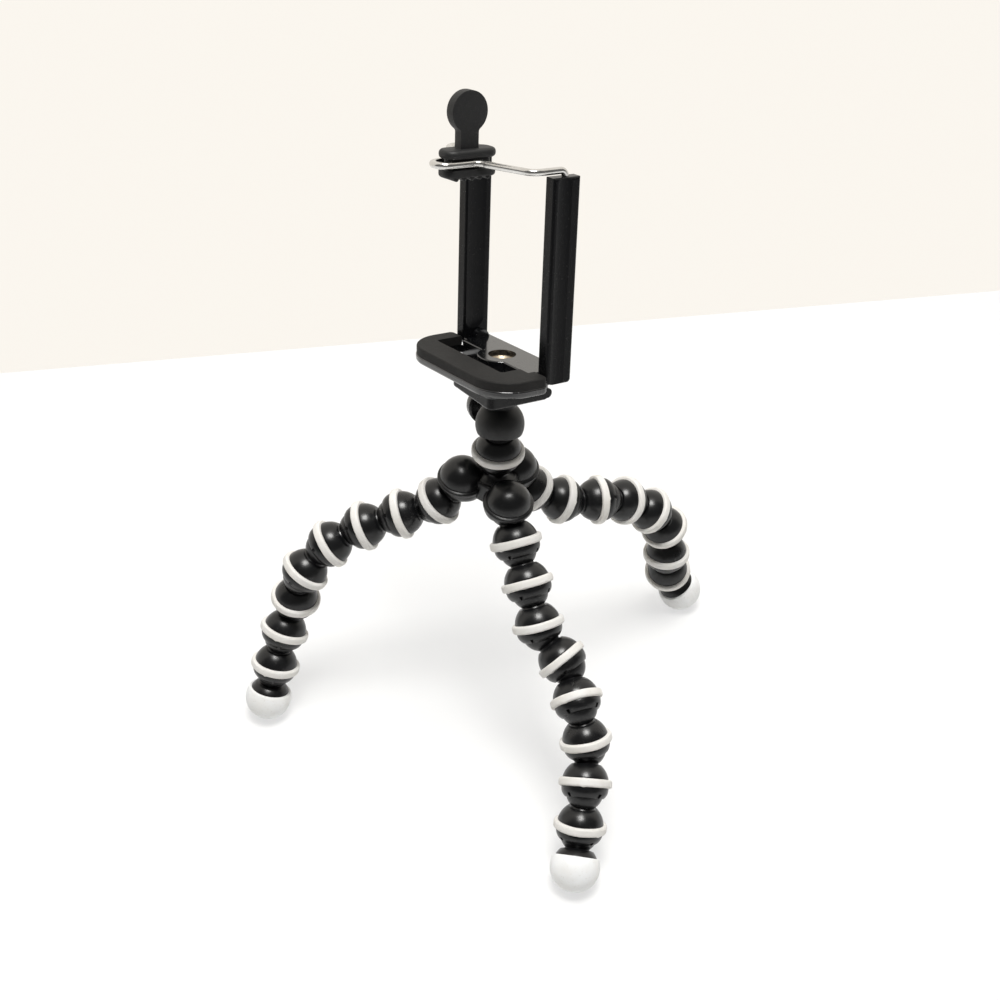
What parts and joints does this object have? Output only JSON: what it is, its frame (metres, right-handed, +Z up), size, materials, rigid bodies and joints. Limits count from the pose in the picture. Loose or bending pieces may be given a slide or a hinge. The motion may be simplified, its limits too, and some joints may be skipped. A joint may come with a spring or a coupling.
{
  "type": "flexible leg tripod with phone clip",
  "caption": "Small tripod with flexible ball and socket legs, a lockable ball head and a folding clip that holds a phone between a padded tray and a sprung wire bail.",
  "frame": {"origin": "middle of the whole model's outline on the floor, under the hub and clip", "axes": "+Z up from the floor; +X to the right of the phone's width, level with the tray's long side; -Y is the clip's front, where the phone goes in"},
  "size_m": [0.1308, 0.1598, 0.2046],
  "materials": {
    "shell_black": "satin moulded plastic",
    "pale_rubber": "matt rubber",
    "clip_black": "satin moulded plastic",
    "pad_rubber": "matt rubber",
    "grip_rubber": "matt rubber",
    "bright_steel": "polished",
    "plain_steel": "turned",
    "insert_brass": "turned"
  },
  "bodies": {
    "hub": {"hub_body": "shell_black"},
    "right_link_1": {"right_link_1": "shell_black"},
    "right_link_2": {"right_link_2": "shell_black"},
    "right_link_3": {"right_link_3": "shell_black"},
    "right_link_4": {"right_link_4": "shell_black"},
    "right_link_5": {"right_link_5": "shell_black"},
    "right_link_6": {"right_link_6": "shell_black"},
    "right_link_7": {"right_link_7": "shell_black"},
    "right_link_8": {"right_link_8": "shell_black"},
    "right_foot": {"right_foot_link": "shell_black", "right_foot_cap": "pale_rubber"},
    "left_link_1": {"left_link_1": "shell_black"},
    "left_link_2": {"left_link_2": "shell_black"},
    "left_link_3": {"left_link_3": "shell_black"},
    "left_link_4": {"left_link_4": "shell_black"},
    "left_link_5": {"left_link_5": "shell_black"},
    "left_link_6": {"left_link_6": "shell_black"},
    "left_link_7": {"left_link_7": "shell_black"},
    "left_link_8": {"left_link_8": "shell_black"},
    "left_foot": {"left_foot_link": "shell_black", "left_foot_cap": "pale_rubber"},
    "rear_link_1": {"rear_link_1": "shell_black"},
    "rear_link_2": {"rear_link_2": "shell_black"},
    "rear_link_3": {"rear_link_3": "shell_black"},
    "rear_link_4": {"rear_link_4": "shell_black"},
    "rear_link_5": {"rear_link_5": "shell_black"},
    "rear_link_6": {"rear_link_6": "shell_black"},
    "rear_link_7": {"rear_link_7": "shell_black"},
    "rear_link_8": {"rear_link_8": "shell_black"},
    "rear_foot": {"rear_foot_link": "shell_black", "rear_foot_cap": "pale_rubber"},
    "head_link": {"head_link": "shell_black"},
    "head": {"ball_housing": "shell_black", "tripod_stud": "plain_steel", "seat_washer": "pad_rubber"},
    "lock": {"lock_screw": "plain_steel", "lock_knob": "shell_black"},
    "clip": {"clip_tray": "clip_black", "tray_bottom_cover": "clip_black", "tray_pad": "pad_rubber", "thread_insert": "insert_brass", "hinge_pins": "plain_steel", "cover_screws": "plain_steel"},
    "posts": {"left_post": "clip_black", "right_post": "clip_black", "left_spring": "bright_steel", "right_spring": "bright_steel"},
    "bail": {"wire_bail": "bright_steel", "bail_grip": "grip_rubber", "left_ferrule": "bright_steel", "right_ferrule": "bright_steel"}
  },
  "joints": [
    {"name": "right_joint_1", "type": "hinge", "parent": "hub", "child": "right_link_1", "pos_m": [-0.01226, -0.00552, 0.08495], "axis": [0.0792, 0.9917, -0.1017], "range_deg": [-2, 42]},
    {"name": "right_joint_2", "type": "hinge", "parent": "right_link_1", "child": "right_link_2", "pos_m": [-0.00447, -0.00717, 0.07487], "axis": [-0.2079, -0.9781, 0], "range_deg": [-36, 25]},
    {"name": "right_joint_3", "type": "hinge", "parent": "right_link_2", "child": "right_link_3", "pos_m": [0.00416, -0.00901, 0.06553], "axis": [0.2079, 0.9781, 0], "range_deg": [-36, 25]},
    {"name": "right_joint_4", "type": "hinge", "parent": "right_link_3", "child": "right_link_4", "pos_m": [0.01196, -0.01066, 0.05545], "axis": [-0.4732, 0.7344, -0.4865], "range_deg": [-5, 56]},
    {"name": "right_joint_5", "type": "hinge", "parent": "right_link_4", "child": "right_link_5", "pos_m": [0.02255, -0.00841, 0.04854], "axis": [0.5378, 0.0507, 0.8416], "range_deg": [-5, 56]},
    {"name": "right_joint_6", "type": "hinge", "parent": "right_link_5", "child": "right_link_6", "pos_m": [0.03309, -0.01183, 0.04202], "axis": [-0.365, -0.9252, -0.104], "range_deg": [-3, 58]},
    {"name": "right_joint_7", "type": "hinge", "parent": "right_link_6", "child": "right_link_7", "pos_m": [0.03979, -0.01326, 0.03115], "axis": [-0.8011, -0.4037, -0.4418], "range_deg": [-58, 3]},
    {"name": "right_joint_8", "type": "hinge", "parent": "right_link_7", "child": "right_link_8", "pos_m": [0.04748, -0.01994, 0.02332], "axis": [0.5324, 0.8266, -0.1826], "range_deg": [-48, 13]},
    {"name": "right_foot_joint", "type": "hinge", "parent": "right_link_8", "child": "right_foot", "pos_m": [0.05245, -0.02546, 0.01283], "axis": [-0.6665, -0.7418, 0.0745], "range_deg": [-50, 11]},
    {"name": "left_joint_1", "type": "hinge", "parent": "hub", "child": "left_link_1", "pos_m": [-0.0287, -0.01082, 0.08617], "axis": [-0.7665, 0.6422, 0.0007], "range_deg": [-42, 2]},
    {"name": "left_joint_2", "type": "hinge", "parent": "left_link_1", "child": "left_link_2", "pos_m": [-0.03458, -0.01783, 0.07714], "axis": [0.839, -0.5263, -0.1379], "range_deg": [-5, 56]},
    {"name": "left_joint_3", "type": "hinge", "parent": "left_link_2", "child": "left_link_3", "pos_m": [-0.04151, -0.02772, 0.07275], "axis": [0.8192, -0.5736, 0], "range_deg": [-33, 28]},
    {"name": "left_joint_4", "type": "hinge", "parent": "left_link_3", "child": "left_link_4", "pos_m": [-0.04829, -0.03742, 0.06774], "axis": [-0.4399, 0.6357, -0.6343], "range_deg": [-19, 42]},
    {"name": "left_joint_5", "type": "hinge", "parent": "left_link_4", "child": "left_link_5", "pos_m": [-0.05313, -0.04733, 0.06115], "axis": [-0.8002, 0.5496, -0.24], "range_deg": [-10, 51]},
    {"name": "left_joint_6", "type": "hinge", "parent": "left_link_5", "child": "left_link_6", "pos_m": [-0.05552, -0.05514, 0.05123], "axis": [-0.9803, 0.0608, 0.188], "range_deg": [-2, 59]},
    {"name": "left_joint_7", "type": "hinge", "parent": "left_link_6", "child": "left_link_7", "pos_m": [-0.05803, -0.05725, 0.03881], "axis": [-0.7876, -0.5611, 0.2546], "range_deg": [-56, 5]},
    {"name": "left_joint_8", "type": "hinge", "parent": "left_link_7", "child": "left_link_8", "pos_m": [-0.05701, -0.06371, 0.02774], "axis": [0.9778, -0.1285, 0.1653], "range_deg": [-38, 23]},
    {"name": "left_foot_joint", "type": "hinge", "parent": "left_link_8", "child": "left_foot", "pos_m": [-0.05568, -0.06869, 0.01597], "axis": [0.1666, 0.9146, -0.3683], "range_deg": [-28, 33]},
    {"name": "rear_joint_1", "type": "hinge", "parent": "hub", "child": "rear_link_1", "pos_m": [-0.02514, 0.00607, 0.08478], "axis": [-0.93, 0.3352, 0.151], "range_deg": [-2, 42]},
    {"name": "rear_joint_2", "type": "hinge", "parent": "rear_link_1", "child": "rear_link_2", "pos_m": [-0.02425, 0.0133, 0.0742], "axis": [0.8487, -0.4671, -0.248], "range_deg": [-60, 1]},
    {"name": "rear_joint_3", "type": "hinge", "parent": "rear_link_2", "child": "rear_link_3", "pos_m": [-0.02018, 0.02389, 0.06816], "axis": [0.9486, -0.2781, 0.1509], "range_deg": [-48, 13]},
    {"name": "rear_joint_4", "type": "hinge", "parent": "rear_link_3", "child": "rear_link_4", "pos_m": [-0.01628, 0.0359, 0.06577], "axis": [0.6751, -0.349, -0.6499], "range_deg": [-5, 56]},
    {"name": "rear_joint_5", "type": "hinge", "parent": "rear_link_4", "child": "rear_link_5", "pos_m": [-0.01648, 0.04713, 0.05953], "axis": [-0.7164, -0.3482, -0.6046], "range_deg": [-47, 14]},
    {"name": "rear_joint_6", "type": "hinge", "parent": "rear_link_5", "child": "rear_link_6", "pos_m": [-0.0141, 0.05665, 0.05123], "axis": [-0.8437, 0.4565, 0.2825], "range_deg": [-53, 8]},
    {"name": "rear_joint_7", "type": "hinge", "parent": "rear_link_6", "child": "rear_link_7", "pos_m": [-0.01443, 0.06296, 0.04004], "axis": [-0.9908, -0.1283, -0.0431], "range_deg": [-57, 4]},
    {"name": "rear_joint_8", "type": "hinge", "parent": "rear_link_7", "child": "rear_link_8", "pos_m": [-0.01398, 0.06375, 0.02723], "axis": [-0.7344, -0.6754, -0.0677], "range_deg": [-8, 53]},
    {"name": "rear_foot_joint", "type": "hinge", "parent": "rear_link_8", "child": "rear_foot", "pos_m": [-0.01695, 0.06815, 0.01552], "axis": [-0.2409, 0.8868, 0.3944], "range_deg": [-3, 58]},
    {"name": "head_pan", "type": "hinge", "parent": "hub", "child": "head_link", "pos_m": [-0.02144, -0.00259, 0.09706], "axis": [0.0303, 0.0427, 0.9986], "continuous": true},
    {"name": "head_tilt", "type": "hinge", "parent": "head_link", "child": "head", "pos_m": [-0.02105, -0.00204, 0.10989], "axis": [-0.5159, -0.8551, 0.0522], "range_deg": [-34, 1.5]},
    {"name": "lock_knob_turn", "type": "hinge", "parent": "head", "child": "lock", "pos_m": [-0.02105, -0.00204, 0.10989], "axis": [-0.9115, 0.32, -0.2583], "range_deg": [0, 270]},
    {"name": "clip_turn", "type": "hinge", "parent": "head", "child": "clip", "pos_m": [-0.02105, -0.00204, 0.10989], "axis": [-0.2077, 0.184, 0.9607], "continuous": true},
    {"name": "clip_fold", "type": "hinge", "parent": "clip", "child": "posts", "pos_m": [-0.02532, 0.00576, 0.12964], "axis": [-0.9774, 0, -0.2113], "range_deg": [0, 90]},
    {"name": "bail_slide", "type": "slide", "parent": "posts", "child": "bail", "axis": [-0.2077, 0.184, 0.9607], "range_m": [0, 0.025], "stiffness_N_per_m": 120, "springref_m": -0.02, "deforming": ["left_spring", "right_spring"]}
  ]
}
